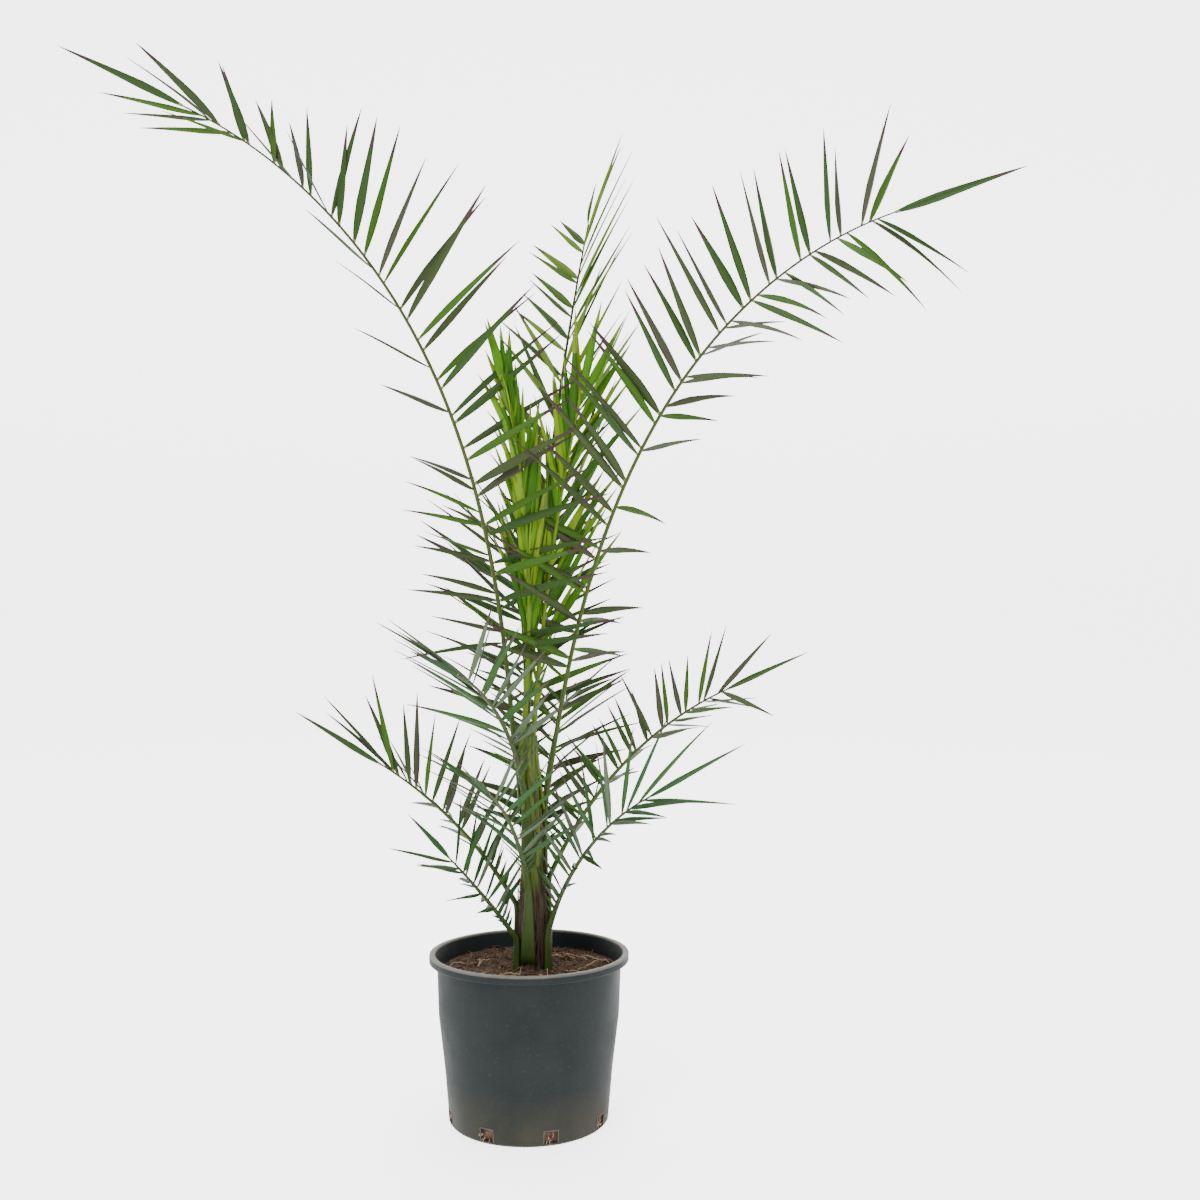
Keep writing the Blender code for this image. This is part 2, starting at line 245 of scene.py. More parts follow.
def applied(piece):
    """The piece with its modifiers worked into its mesh."""
    depsgraph = bpy.context.evaluated_depsgraph_get()
    made = bpy.data.meshes.new_from_object(piece.evaluated_get(depsgraph))
    piece.modifiers.clear()
    old = piece.data
    piece.data = made
    bpy.data.meshes.remove(old)


def face_outward(piece):
    """Turns all the faces of a closed piece outwards."""
    form = bmesh.new()
    form.from_mesh(piece.data)
    bmesh.ops.recalc_face_normals(form, faces=form.faces)
    form.to_mesh(piece.data)
    form.free()


def turned(name, profile, segments, materials):
    """A closed solid of revolution from a profile that starts and ends on the axis."""
    points = [(0.0, 0.0, profile[0][1])]
    for radius, height in profile[1:-1]:
        for step in range(segments):
            turn = math.tau * step / segments
            points.append((radius * math.cos(turn), radius * math.sin(turn), height))
    points.append((0.0, 0.0, profile[-1][1]))
    last = len(points) - 1
    faces = []
    for step in range(segments):
        after = (step + 1) % segments
        faces.append((0, 1 + step, 1 + after))
        for row in range(len(profile) - 3):
            low = 1 + row * segments
            high = low + segments
            faces.append((low + step, high + step, high + after, low + after))
        low = 1 + (len(profile) - 3) * segments
        faces.append((low + step, last, low + after))
    piece = mesh_object(name, points, faces, materials)
    face_outward(piece)
    return piece


def rounded(centre, radius, start, end, steps=4):
    """Points of a small round between two angles in degrees, as radius and height."""
    made = []
    for step in range(steps + 1):
        turn = math.radians(start + (end - start) * step / steps)
        made.append((centre[0] + radius * math.cos(turn), centre[1] + radius * math.sin(turn)))
    return made


pot_line = [(0.0, FLOOR_THICKNESS)]
pot_line += [(radius - WALL_THICKNESS, max(height, FLOOR_THICKNESS)) for radius, height in reversed(WALL)]
pot_line += rounded((RIM_INNER_RADIUS + LIP_ROUND, POT_HEIGHT - LIP_ROUND), LIP_ROUND, 180, 90)
pot_line += rounded((RIM_RADIUS - LIP_ROUND, POT_HEIGHT - LIP_ROUND), LIP_ROUND, 90, 0)
pot_line += rounded((RIM_RADIUS - LIP_ROUND, POT_HEIGHT - LIP_DEPTH + LIP_ROUND), LIP_ROUND, 0, -90)
pot_line += list(WALL)
pot_line += [(FLOOR_RADIUS, 0.0), (0.0, 0.0)]
pot_finish = pot_plastic("pot_plastic_worn")
pot = turned("nursery_pot", pot_line, POT_SEGMENTS, [pot_finish])


def hole_turns():
    return [HOLE_TURN + math.tau * index / HOLE_COUNT for index in range(HOLE_COUNT)]


cutter_form = bmesh.new()
for turn in hole_turns():
    place = (Matrix.Rotation(turn, 4, "Z")
             @ Matrix.Translation((HOLE_MIDDLE, 0.0, (HOLE_TOP + HOLE_BOTTOM) / 2))
             @ Matrix.Diagonal((HOLE_DEPTH, HOLE_WIDTH, HOLE_TOP - HOLE_BOTTOM, 1.0)))
    bmesh.ops.create_cube(cutter_form, size=1.0, matrix=place)
cutter_mesh = bpy.data.meshes.new("hole_cutter")
cutter_form.to_mesh(cutter_mesh)
cutter_form.free()
cutter = bpy.data.objects.new("hole_cutter", cutter_mesh)
bpy.context.scene.collection.objects.link(cutter)
cut = pot.modifiers.new("drain_holes", "BOOLEAN")
cut.operation = "DIFFERENCE"
cut.solver = "EXACT"
cut.object = cutter
applied(pot)
bpy.data.objects.remove(cutter, do_unlink=True)
pot.data.shade_smooth()
pot.data.set_sharp_from_angle(angle=math.radians(35))
finish_piece(pot, "pot_plastic", "pot")


# Burrs. Thin raised edges of the pot's own plastic that the punch leaves round each
# drain hole, rubbed pale. They lie on the wall at both sides and over the top of a hole.
BURR_WIDTH = 0.0012
BURR_PROUD = 0.0006


def wall_radius(height):
    for high, low in zip(WALL, WALL[1:]):
        if height >= low[1]:
            return low[0] + (high[0] - low[0]) * (height - low[1]) / (high[1] - low[1])
    return WALL[-1][0]


def joined_boxes(name, boxes, materials):
    """One mesh of boxes, each given by its eight corners."""
    points = []
    faces = []
    for corners in boxes:
        base = len(points)
        points += corners
        faces += [tuple(base + index for index in face) for face in (
            (0, 2, 3, 1), (4, 5, 7, 6), (0, 1, 5, 4), (2, 6, 7, 3), (0, 4, 6, 2), (1, 3, 7, 5))]
    made = mesh_object(name, points, faces, materials, smooth=False)
    face_outward(made)
    return made


def wall_bar(turn, side_low, side_high, low, high):
    """A thin bar that lies on the wall beside a drain hole."""
    corners = []
    for side in (side_low, side_high):
        for height in (low, high):
            for proud in (-BURR_PROUD, BURR_PROUD):
                reach = math.sqrt(wall_radius(height) ** 2 - side ** 2) + proud
                corners.append((reach * math.cos(turn) - side * math.sin(turn),
                                reach * math.sin(turn) + side * math.cos(turn), height))
    return corners


burr_finish = principled("burr_pale", (0.060, 0.056, 0.048), 0.7, 0.15)
bars = []
for turn in hole_turns():
    half = HOLE_WIDTH / 2
    for side in (-half - BURR_WIDTH, half):
        bars.append(wall_bar(turn, side, side + BURR_WIDTH, HOLE_BOTTOM, HOLE_TOP + BURR_WIDTH))
    bars.append(wall_bar(turn, -half, half, HOLE_TOP, HOLE_TOP + BURR_WIDTH))
burrs = joined_boxes("hole_burrs", bars, [burr_finish])
finish_piece(burrs, "pot_plastic")


# Soil. A root ball of bark and coir that fills the pot to a little under its rim,
# with a rough crumbly top; pale roots show where it meets the drain holes.
SOIL_TOP = 0.2215
SOIL_GAP = 0.0003
SOIL_RINGS = 44
SOIL_SEGMENTS = 150
SOIL_ROUGH = 0.0045
SOIL_SIDE_HEIGHTS = (0.157, 0.076, 0.030, 0.0034)


def soil_material(name, dark, light):
    """Crumbs of dark peat, red-brown bark and pale fibre."""
    made = principled(name, light, 0.95, 0.15)
    tree = made.node_tree
    place = place_nodes(tree)[0]
    crumbs = node(tree, "ShaderNodeTexVoronoi", Vector=place, Scale=210.0).outputs["Distance"]
    shade = node(tree, "ShaderNodeTexNoise", Vector=place, Scale=70.0, Detail=8.0, Roughness=0.7)
    body = mixed(tree, ranged(tree, shade.outputs["Fac"], 0.36, 0.66), dark, light)
    pale = node(tree, "ShaderNodeTexNoise", Vector=place, Scale=380.0, Detail=3.0)
    body = mixed(tree, ranged(tree, pale.outputs["Fac"], 0.60, 0.70, 0.0, 0.6), body, (0.20, 0.135, 0.080))
    body = mixed(tree, ranged(tree, crumbs, 0.25, 0.6, 0.0, 0.5), body, (0.010, 0.007, 0.005))
    tree.links.new(body, tree.nodes["Principled BSDF"].inputs["Base Color"])
    bumped(tree, crumbs, 0.8, 0.002)
    return made


def soil_lump(spot):
    """How far the crumbly top rises or sinks at a spot, as a share of its roughness."""
    return noise.noise(spot * 55.0) + 0.6 * noise.noise(spot * 150.0) + 0.35 * noise.noise(spot * 320.0)


soil_finish = soil_material("bark_and_coir", (0.026, 0.015, 0.010), (0.110, 0.062, 0.038))
soil_edge = wall_radius(SOIL_TOP) - WALL_THICKNESS - SOIL_GAP
soil_points = []
soil_faces = []
for ring in range(1, SOIL_RINGS + 1):
    radius = soil_edge * ring / SOIL_RINGS
    for step in range(SOIL_SEGMENTS):
        turn = math.tau * step / SOIL_SEGMENTS
        spot = Vector((radius * math.cos(turn), radius * math.sin(turn), 0.0))
        fade = min(1.0, (SOIL_RINGS - ring) / 3)
        soil_points.append((spot.x, spot.y, SOIL_TOP + SOIL_ROUGH * soil_lump(spot) * fade))
for ring in range(SOIL_RINGS - 1):
    for step in range(SOIL_SEGMENTS):
        after = (step + 1) % SOIL_SEGMENTS
        low = ring * SOIL_SEGMENTS
        high = low + SOIL_SEGMENTS
        soil_faces.append((low + step, high + step, high + after, low + after))
centre_index = len(soil_points)
soil_points.append((0.0, 0.0, SOIL_TOP))
for step in range(SOIL_SEGMENTS):
    soil_faces.append((centre_index, step, (step + 1) % SOIL_SEGMENTS))
last_row = (SOIL_RINGS - 1) * SOIL_SEGMENTS
for height in SOIL_SIDE_HEIGHTS:
    radius = wall_radius(height) - WALL_THICKNESS - SOIL_GAP
    next_row = len(soil_points)
    for step in range(SOIL_SEGMENTS):
        turn = math.tau * step / SOIL_SEGMENTS
        soil_points.append((radius * math.cos(turn), radius * math.sin(turn), height))
    for step in range(SOIL_SEGMENTS):
        after = (step + 1) % SOIL_SEGMENTS
        soil_faces.append((last_row + step, next_row + step, next_row + after, last_row + after))
    last_row = next_row
soil_faces.append(tuple(last_row + step for step in reversed(range(SOIL_SEGMENTS))))
soil = mesh_object("soil_bed", soil_points, soil_faces, [soil_finish])
finish_piece(soil, "potting_soil", "soil")


# Bark chips. Loose flakes of red and dark bark and pale coir crumbs, scattered over the
# top of the soil but for the ground under the stem and the last rings at the wall.
CHIPS_FROM_RING = 4
CHIPS_TO_RING = SOIL_RINGS - 3


def chip_shape():
    """One rough flake, about a unit long."""
    form = bmesh.new()
    bmesh.ops.create_icosphere(form, subdivisions=1, radius=0.5)
    for vertex in form.verts:
        vertex.co *= 1.0 + 0.45 * noise.noise(vertex.co * 2.3)
        vertex.co.y *= 0.55
        vertex.co.z *= 0.30
    mesh = bpy.data.meshes.new("chip_shape")
    form.to_mesh(mesh)
    form.free()
    made = bpy.data.objects.new("chip_shape", mesh)
    bpy.context.scene.collection.objects.link(made)
    return made


def scatter_tree(name, shape, material):
    """Scatters turned and scaled copies of a shape over the faces of the piece."""
    tree = bpy.data.node_groups.new(name, "GeometryNodeTree")
    tree.interface.new_socket("Geometry", in_out="INPUT", socket_type="NodeSocketGeometry")
    for label in ("Per square metre", "Smallest", "Largest"):
        tree.interface.new_socket(label, in_out="INPUT", socket_type="NodeSocketFloat")
    tree.interface.new_socket("Seed", in_out="INPUT", socket_type="NodeSocketInt")
    tree.interface.new_socket("Geometry", in_out="OUTPUT", socket_type="NodeSocketGeometry")
    entry = tree.nodes.new("NodeGroupInput")
    leave = tree.nodes.new("NodeGroupOutput")
    scatter = tree.nodes.new("GeometryNodeDistributePointsOnFaces")
    copy = tree.nodes.new("GeometryNodeInstanceOnPoints")
    source = tree.nodes.new("GeometryNodeObjectInfo")
    source.inputs["Object"].default_value = shape
    turn = tree.nodes.new("FunctionNodeRandomValue")
    turn.data_type = "FLOAT_VECTOR"
    turn.inputs[0].default_value = (-0.5, -0.5, -math.pi)
    turn.inputs[1].default_value = (0.5, 0.5, math.pi)
    size = tree.nodes.new("FunctionNodeRandomValue")
    real = tree.nodes.new("GeometryNodeRealizeInstances")
    coat = tree.nodes.new("GeometryNodeSetMaterial")
    coat.inputs["Material"].default_value = material
    links = tree.links
    links.new(entry.outputs["Geometry"], scatter.inputs["Mesh"])
    links.new(entry.outputs["Per square metre"], scatter.inputs["Density"])
    links.new(entry.outputs["Seed"], scatter.inputs["Seed"])
    links.new(entry.outputs["Smallest"], size.inputs[2])
    links.new(entry.outputs["Largest"], size.inputs[3])
    links.new(scatter.outputs["Points"], copy.inputs["Points"])
    links.new(source.outputs["Geometry"], copy.inputs["Instance"])
    links.new(turn.outputs[0], copy.inputs["Rotation"])
    links.new(size.outputs[1], copy.inputs["Scale"])
    links.new(copy.outputs["Instances"], real.inputs["Geometry"])
    links.new(real.outputs["Geometry"], coat.inputs["Geometry"])
    links.new(coat.outputs["Geometry"], leave.inputs["Geometry"])
    return tree


def scattered(name, tree, values, ground):
    """A piece of its own made by running the tree over a copy of the ground's mesh."""
    piece = bpy.data.objects.new(name, ground.copy())
    bpy.context.scene.collection.objects.link(piece)
    step = piece.modifiers.new("scatter", "NODES")
    step.node_group = tree
    for item in tree.interface.items_tree:
        if item.in_out == "INPUT" and item.name in values:
            step[item.identifier] = values[item.name]
    applied(piece)
    return piece


ground_faces = [
    face for face in soil_faces[:CHIPS_TO_RING * SOIL_SEGMENTS]
    if min(face) >= CHIPS_FROM_RING * SOIL_SEGMENTS
]
ground = bpy.data.meshes.new("soil_ground")
ground.from_pydata(soil_points[:SOIL_RINGS * SOIL_SEGMENTS], [], ground_faces)
chip = chip_shape()
chip_sets = (
    ("bark_chips_red", (0.115, 0.055, 0.030), 5200.0, 0.005, 0.013, 3),
    ("bark_chips_dark", (0.022, 0.014, 0.010), 5200.0, 0.004, 0.011, 8),
    ("coir_crumbs_pale", (0.230, 0.150, 0.085), 4200.0, 0.003, 0.008, 14),
)
for chip_name, colour, density, smallest, largest, seed in chip_sets:
    chip_finish = soil_material(chip_name + "_finish", tuple(0.6 * part for part in colour), colour)
    values = {"Per square metre": density, "Smallest": smallest, "Largest": largest, "Seed": seed}
    chips = scattered(chip_name, scatter_tree(chip_name, chip, chip_finish), values, ground)
    finish_piece(chips, "potting_soil")
bpy.data.objects.remove(chip, do_unlink=True)


# Straw and fine roots. Dry straws and coir hairs lie on the soil, and
# a few root ends reach out through the drain holes.
LYING_STEPS = 9
LYING_SHAKE = 0.08
STRAW_COUNT = 22
HAIR_COUNT = 220
ROOTS_PER_HOLE = 6
ROOT_RADII = (0.0009, 0.0009, 0.0008, 0.0007, 0.0006, 0.0003)


def band(low, high, count):
    """The faces between two rings of points, given by the first index of each."""
    faces = []
    for step in range(count):
        after = (step + 1) % count
        faces.append((low + step, low + after, high + after, high + step))
    return faces


def tube(points, radii, sides):
    """Points and faces of a closed round tube through the points."""
    made = []
    faces = []
    side = None
    for index, point in enumerate(points):
        before = points[max(index - 1, 0)]
        after = points[min(index + 1, len(points) - 1)]
        along = (after - before).normalized()
        if side is None:
            side = along.orthogonal().normalized()
        side = (side - along * side.dot(along)).normalized()
        other = along.cross(side)
        for step in range(sides):
            turn = math.tau * step / sides
            made.append(point + (side * math.cos(turn) + other * math.sin(turn)) * radii[index])
    for row in range(len(points) - 1):
        faces += band(row * sides, (row + 1) * sides, sides)
    faces.append(tuple(reversed(range(sides))))
    faces.append(tuple((len(points) - 1) * sides + step for step in range(sides)))
    return made, faces


def joined(name, tubes, materials):
    points = []
    faces = []
    for more, rings in tubes:
        base = len(points)
        points += more
        faces += [tuple(base + index for index in face) for face in rings]
    return mesh_object(name, points, faces, materials)


def soil_height(x, y):
    return SOIL_TOP + SOIL_ROUGH * soil_lump(Vector((x, y, 0.0)))


def lying(rng, centre, heading, length, bend, radius, lift):
    """A bent stalk that lies on the soil."""
    points = []
    x, y = centre
    for step in range(LYING_STEPS + 1):
        arch = math.sin(math.pi * step / LYING_STEPS)
        points.append(Vector((x, y, soil_height(x, y) + radius + 0.002 + lift * arch)))
        x += math.cos(heading) * length / LYING_STEPS
        y += math.sin(heading) * length / LYING_STEPS
        heading += bend / LYING_STEPS + rng.uniform(-LYING_SHAKE, LYING_SHAKE)
    return tube(points, [radius] * len(points), 5)


def inside_pot(points):
    return all(math.hypot(point.x, point.y) < soil_edge - 0.002 for point in points)


def strewn(rng, count, length, bend, radius):
    """Stalks that lie anywhere on the soil, all of them clear of the pot's wall."""
    made = []
    while len(made) < count:
        reach = soil_edge * math.sqrt(rng.random())
        turn = rng.uniform(0, math.tau)
        trial = lying(rng, (reach * math.cos(turn), reach * math.sin(turn)), rng.uniform(0, math.tau),
                      rng.uniform(*length), rng.uniform(-bend, bend), rng.uniform(*radius),
                      rng.uniform(0.0, 0.006))
        if inside_pot(trial[0]):
            made.append(trial)
    return made


straw_rng = random.Random(21)
straws = strewn(straw_rng, STRAW_COUNT, (0.03, 0.075), 0.9, (0.0006, 0.0012))
hairs = strewn(straw_rng, HAIR_COUNT, (0.012, 0.035), 2.5, (0.0002, 0.0005))
straw_piece = joined("dry_straws", straws, [principled("straw_pale", (0.25, 0.18, 0.10), 0.75, 0.2)])
finish_piece(straw_piece, "potting_soil")
hair_piece = joined("coir_hairs", hairs, [principled("coir_brown", (0.11, 0.066, 0.038), 0.85, 0.2)])
finish_piece(hair_piece, "potting_soil")

root_ends = []
for turn in hole_turns():
    for root_end in range(ROOTS_PER_HOLE):
        side = straw_rng.uniform(-0.4, 0.4) * HOLE_WIDTH
        height = straw_rng.uniform(HOLE_BOTTOM + 0.002, HOLE_TOP - 0.003)
        points = []
        for step in range(len(ROOT_RADII)):
            reach = wall_radius(height) - 0.005 + 0.0011 * step
            points.append(Vector((reach * math.cos(turn) - side * math.sin(turn),
                                  reach * math.sin(turn) + side * math.cos(turn), height)))
            side += straw_rng.uniform(-0.0022, 0.0022)
            height = max(height + straw_rng.uniform(-0.0035, 0.0015), 0.0032)
        root_ends.append(tube(points, ROOT_RADII, 5))
roots = joined("root_ends", root_ends, [principled("root_pale", (0.28, 0.20, 0.135), 0.8, 0.2)])
finish_piece(roots, "potting_soil")


# Stem. Packed leaf bases round a narrow core, green above and wrapped in dark brown
# fibre near the soil, where the oldest leaves have been cut away.
STEM_TOP = 0.5715
STEM_BASE_RADIUS = 0.0280
STEM_WAIST_RADIUS = 0.0185
STEM_WAIST_HEIGHT = 0.3865
STEM_TOP_RADIUS = 0.0160
STEM_BASE_X = 0.006
STEM_DRIFT = -0.011
STEM_ROWS = 120
STEM_SEGMENTS = 72
SHEATH_LOBES = 7


def stem_x(height):
    rise = (height - STEM_WAIST_HEIGHT) / (STEM_TOP - STEM_WAIST_HEIGHT)
    return STEM_BASE_X + STEM_DRIFT * min(max(rise, 0.0), 0.9) ** 1.5


def stem_radius(height):
    if height <= STEM_WAIST_HEIGHT:
        share = (height - SOIL_TOP) / (STEM_WAIST_HEIGHT - SOIL_TOP)
        return STEM_BASE_RADIUS + (STEM_WAIST_RADIUS - STEM_BASE_RADIUS) * share
    share = (height - STEM_WAIST_HEIGHT) / (STEM_TOP - STEM_WAIST_HEIGHT)
    return STEM_WAIST_RADIUS + (STEM_TOP_RADIUS - STEM_WAIST_RADIUS) * share


def stem_material():
    """Green leaf bases with upright veins, under dark brown torn fibre low down."""
    made = principled("leaf_base_green", (0.06, 0.09, 0.012), 0.6, 0.15)
    tree = made.node_tree
    place, height = place_nodes(tree, (1.0, 1.0, 0.07))
    veins = node(tree, "ShaderNodeTexNoise", Vector=place, Scale=240.0, Detail=5.0).outputs["Fac"]
    patches = node(tree, "ShaderNodeTexNoise", Vector=place, Scale=60.0, Detail=4.0).outputs["Fac"]
    green = mixed(tree, ranged(tree, veins, 0.35, 0.65), (0.025, 0.045, 0.006), (0.085, 0.125, 0.014))
    brown = mixed(tree, ranged(tree, veins, 0.4, 0.6), (0.008, 0.006, 0.004), (0.050, 0.028, 0.016))
    low = ranged(tree, height, 0.352, 0.328)
    torn = ranged(tree, patches, 0.44, 0.36)
    body = mixed(tree, ranged(tree, torn, 0.0, 1.0, 0.05, 0.85), green, brown)
    body = mixed(tree, times(tree, low, ranged(tree, patches, 0.3, 0.5, 0.6, 1.0)), body, brown)
    tree.links.new(body, tree.nodes["Principled BSDF"].inputs["Base Color"])
    bumped(tree, veins, 0.7, 0.0015)
    return made


stem_points = []
stem_faces = []
for row in range(STEM_ROWS + 1):
    height = SOIL_TOP - 0.004 + (STEM_TOP + 0.004 - SOIL_TOP) * row / STEM_ROWS
    for step in range(STEM_SEGMENTS):
        turn = math.tau * step / STEM_SEGMENTS
        lobe = abs(math.sin(SHEATH_LOBES / 2 * turn + 9.0 * height)) - 0.55
        grain = noise.noise(Vector((math.cos(turn) * 3, math.sin(turn) * 3, height * 9)))
        radius = stem_radius(height) * (0.93 + 0.10 * lobe + 0.07 * grain)
        stem_points.append((stem_x(height) + radius * math.cos(turn), radius * math.sin(turn), height))
for row in range(STEM_ROWS):
    stem_faces += band(row * STEM_SEGMENTS, (row + 1) * STEM_SEGMENTS, STEM_SEGMENTS)
stem_faces.append(tuple(reversed(range(STEM_SEGMENTS))))
stem_faces.append(tuple(STEM_ROWS * STEM_SEGMENTS + step for step in range(STEM_SEGMENTS)))
stem = mesh_object("stem_core", stem_points, stem_faces, [stem_material()])
finish_piece(stem, "leaf_bases", "stem")


# Stem fibre. The torn net of stiff brown hairs that grows from the edges of the leaf
# bases and holds them together, thickest near the soil and curling off at its ends.
FIBRE_COUNT = 260
FIBRE_STEPS = 8
FIBRE_LOW = (0.235, 0.34)
FIBRE_ANYWHERE = (0.25, 0.55)
fibre_rng = random.Random(5)
fibres = []
for index in range(FIBRE_COUNT):
    start = fibre_rng.uniform(*(FIBRE_LOW if index % 4 else FIBRE_ANYWHERE))
    length = fibre_rng.uniform(0.02, 0.06)
    turn = fibre_rng.uniform(0, math.tau)
    drift = fibre_rng.uniform(-0.5, 0.5)
    lift = fibre_rng.uniform(0.0, 0.006)
    points = []
    for step in range(FIBRE_STEPS):
        share = step / (FIBRE_STEPS - 1)
        height = min(start + length * share, STEM_TOP)
        radius = stem_radius(height) * 1.02 + lift * share * share + 0.0008
        angle = turn + drift * share
        points.append(Vector((stem_x(height) + radius * math.cos(angle), radius * math.sin(angle), height)))
    fibres.append(tube(points, [0.0005 * (1.2 - step / FIBRE_STEPS) for step in range(FIBRE_STEPS)], 4))
fibre_piece = joined("stem_fibre", fibres, [principled("fibre_brown", (0.040, 0.023, 0.013), 0.85, 0.2)])
finish_piece(fibre_piece, "leaf_bases")


# Fronds. Each has a green rib, which starts as a broad base round the stem and
# narrows to its tip, and two ranks of stiff folded leaflets that grow from it.
STALK_RADIUS = 0.0042
STALK_TIP_RADIUS = 0.0034
RIB_TIP_RADIUS = 0.0012
GAP = 0.0003
PATH_STEPS = 60


class Rank:
    """One side's leaflets. A knot gives the share of the leafy length, the angle to the
    rib, the swing round the rib from its upper face, both in degrees, and the length."""

    def __init__(self, *knots, droop=0.05, width=0.0148, sparse=(1.0, 1.0)):
        self.knots = knots
        self.droop = droop
        self.width = width
        self.sparse = sparse

    def at(self, share):
        for low, high in zip(self.knots, self.knots[1:]):
            if share <= high[0]:
                part = (share - low[0]) / (high[0] - low[0])
                return [a + (b - a) * part for a, b in zip(low[1:], high[1:])]
        return list(self.knots[-1][1:])


class Frond:
    """A frond's path, which leans from its foot to its tip, and its two ranks."""

    def __init__(self, name, azimuth, foot, length, lean, bend, leafy_from, inner, outer,
                 spacing=0.031, shades="old", blades=("blade",)):
        self.name = name
        self.azimuth = math.radians(azimuth)
        self.foot = foot
        self.length = length
        self.lean = [math.radians(angle) for angle in lean]
        self.bend = bend
        self.leafy_from = leafy_from
        self.inner = inner
        self.outer = outer
        self.spacing = spacing
        self.shades = shades
        self.blades = blades
        self.path = self.walk()

    def axes(self, share):
        lean = self.lean[0] + (self.lean[1] - self.lean[0]) * max(share, 0.0) ** self.bend
        outward = Vector((math.cos(self.azimuth), math.sin(self.azimuth), 0.0))
        upward = Vector((0.0, 0.0, 1.0))
        tangent = outward * math.sin(lean) + upward * math.cos(lean)
        normal = upward * math.sin(lean) - outward * math.cos(lean)
        return tangent, normal, upward.cross(outward)

    def start(self):
        if isinstance(self.foot, tuple):
            x, y = self.foot
            return Vector((stem_x(STEM_TOP) + x, y, STEM_TOP))
        reach = stem_radius(self.foot) + GAP + STALK_RADIUS * math.cos(self.lean[0])
        x = stem_x(self.foot) + reach * math.cos(self.azimuth)
        return Vector((x, reach * math.sin(self.azimuth), self.foot))

    def walk(self):
        points = [self.start()]
        for step in range(PATH_STEPS):
            tangent = self.axes((step + 0.5) / PATH_STEPS)[0]
            points.append(points[-1] + tangent * (self.length / PATH_STEPS))
        return points

    def point(self, share):
        place = min(max(share, 0.0), 1.0) * PATH_STEPS
        low = min(int(place), PATH_STEPS - 1)
        return self.path[low].lerp(self.path[low + 1], place - low)


